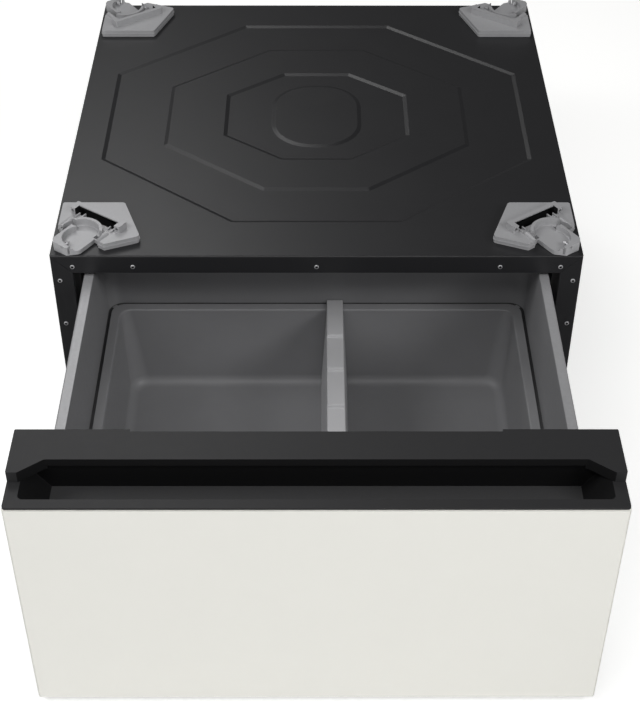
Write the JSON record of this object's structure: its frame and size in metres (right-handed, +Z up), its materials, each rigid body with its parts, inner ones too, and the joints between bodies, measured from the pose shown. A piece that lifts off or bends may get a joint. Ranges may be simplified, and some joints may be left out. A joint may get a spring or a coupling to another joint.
{
  "type": "washer pedestal drawer",
  "caption": "Low steel pedestal for a front-loading washer, with corner foot clamps and a full-width storage drawer on slides with a divided bin and a recessed handle.",
  "frame": {"origin": "centre of the bounding box's foot: on the floor, midway in width and midway between the open drawer's front and the cabinet's back", "axes": "+X to the right of someone facing the drawer, +Y from the drawer front to the back, +Z up"},
  "size_m": [0.686, 1.0874, 0.4013],
  "materials": {
    "cabinet_paint": "satin black powder coat on steel sheet",
    "clamp_plastic": "silver-grey moulded glass-filled nylon, satin",
    "galvanised_steel": "galvanised steel sheet, dull",
    "slide_steel": "roll-formed zinc-plated steel",
    "screw_steel": "zinc-plated steel",
    "bin_plastic": "grey moulded polypropylene, fine grain",
    "black_plastic": "black moulded ABS, satin",
    "front_enamel": "warm off-white coat on steel sheet, semi-gloss",
    "rubber": "black moulded rubber"
  },
  "bodies": {
    "cabinet": {"top_panel": "cabinet_paint", "side_panel_left": "cabinet_paint", "side_panel_right": "cabinet_paint", "back_panel": "cabinet_paint", "base_rail_front": "cabinet_paint", "base_rail_rear": "cabinet_paint", "base_rail_left": "cabinet_paint", "base_rail_right": "cabinet_paint", "slide_outer_left": "slide_steel", "slide_bracket_left": "galvanised_steel", "flange_screw_left_1": "screw_steel", "flange_screw_left_2": "screw_steel", "flange_screw_left_3": "screw_steel", "slide_outer_right": "slide_steel", "slide_bracket_right": "galvanised_steel", "flange_screw_right_1": "screw_steel", "flange_screw_right_2": "screw_steel", "flange_screw_right_3": "screw_steel", "clamp_base_front_left": "clamp_plastic", "foot_cup_front_left": "clamp_plastic", "cup_lock_screw_front_left": "screw_steel", "clamp_base_front_right": "clamp_plastic", "foot_cup_front_right": "clamp_plastic", "cup_lock_screw_front_right": "screw_steel", "clamp_base_back_left": "clamp_plastic", "foot_cup_back_left": "clamp_plastic", "cup_lock_screw_back_left": "screw_steel", "clamp_base_back_right": "clamp_plastic", "foot_cup_back_right": "clamp_plastic", "cup_lock_screw_back_right": "screw_steel", "flange_screw_top_1": "screw_steel", "flange_screw_top_2": "screw_steel", "flange_screw_top_3": "screw_steel", "flange_screw_top_4": "screw_steel", "flange_screw_top_5": "screw_steel"},
    "drawer": {"slide_inner_left": "slide_steel", "drawer_side_left": "galvanised_steel", "front_end_cap_left": "black_plastic", "bumper_left": "rubber", "slide_inner_right": "slide_steel", "drawer_side_right": "galvanised_steel", "front_end_cap_right": "black_plastic", "bumper_right": "rubber", "drawer_floor": "galvanised_steel", "drawer_back": "galvanised_steel", "front_inner_panel": "galvanised_steel", "bin": "bin_plastic", "bin_divider": "bin_plastic", "front_bottom_cover": "black_plastic", "handle_trim": "black_plastic", "front_panel": "front_enamel"},
    "slide_member_left": {"slide_middle_left": "slide_steel"},
    "slide_member_right": {"slide_middle_right": "slide_steel"},
    "foot_front_left": {"levelling_foot_front_left": "rubber"},
    "foot_front_right": {"levelling_foot_front_right": "rubber"},
    "foot_back_left": {"levelling_foot_back_left": "rubber"},
    "foot_back_right": {"levelling_foot_back_right": "rubber"}
  },
  "joints": [
    {"name": "drawer_run", "type": "slide", "parent": "cabinet", "child": "drawer", "axis": [0, -1, 0], "range_m": [-0.304, 0]},
    {"name": "slide_member_left_run", "type": "slide", "parent": "cabinet", "child": "slide_member_left", "axis": [0, -1, 0], "range_m": [-0.152, 0]},
    {"name": "slide_member_right_run", "type": "slide", "parent": "cabinet", "child": "slide_member_right", "axis": [0, -1, 0], "range_m": [-0.152, 0]},
    {"name": "foot_front_left_height", "type": "slide", "parent": "cabinet", "child": "foot_front_left", "axis": [0, 0, -1], "range_m": [0, 0.012]},
    {"name": "foot_front_right_height", "type": "slide", "parent": "cabinet", "child": "foot_front_right", "axis": [0, 0, -1], "range_m": [0, 0.012]},
    {"name": "foot_back_left_height", "type": "slide", "parent": "cabinet", "child": "foot_back_left", "axis": [0, 0, -1], "range_m": [0, 0.012]},
    {"name": "foot_back_right_height", "type": "slide", "parent": "cabinet", "child": "foot_back_right", "axis": [0, 0, -1], "range_m": [0, 0.012]}
  ],
  "couplings": [
    {"joint": "slide_member_left_run", "follows": "drawer_run", "ratio": 0.5},
    {"joint": "slide_member_right_run", "follows": "drawer_run", "ratio": 0.5}
  ]
}
